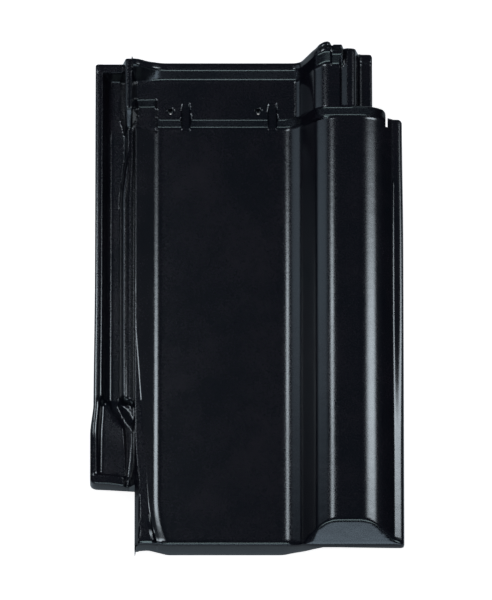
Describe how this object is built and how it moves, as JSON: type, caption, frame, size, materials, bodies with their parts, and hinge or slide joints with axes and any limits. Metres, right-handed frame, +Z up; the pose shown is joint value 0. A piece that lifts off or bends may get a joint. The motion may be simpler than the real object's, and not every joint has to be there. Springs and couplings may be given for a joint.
{
  "type": "clay roof tile",
  "caption": "Pressed clay roof tile with a flat pan, a raised side roll with cover flange, interlocking head and side channel, and hanging nibs.",
  "frame": {"origin": "on the floor, under the middle of the tile's length and width", "axes": "+X across the tile towards the cover roll, +Y along it from foot to head, +Z up, out of the weather face"},
  "size_m": [0.28, 0.4704, 0.0745],
  "materials": {
    "black_glaze": "glossy black glaze over fired clay"
  },
  "bodies": {
    "root": {"roof_tile": "black_glaze"}
  },
  "joints": []
}
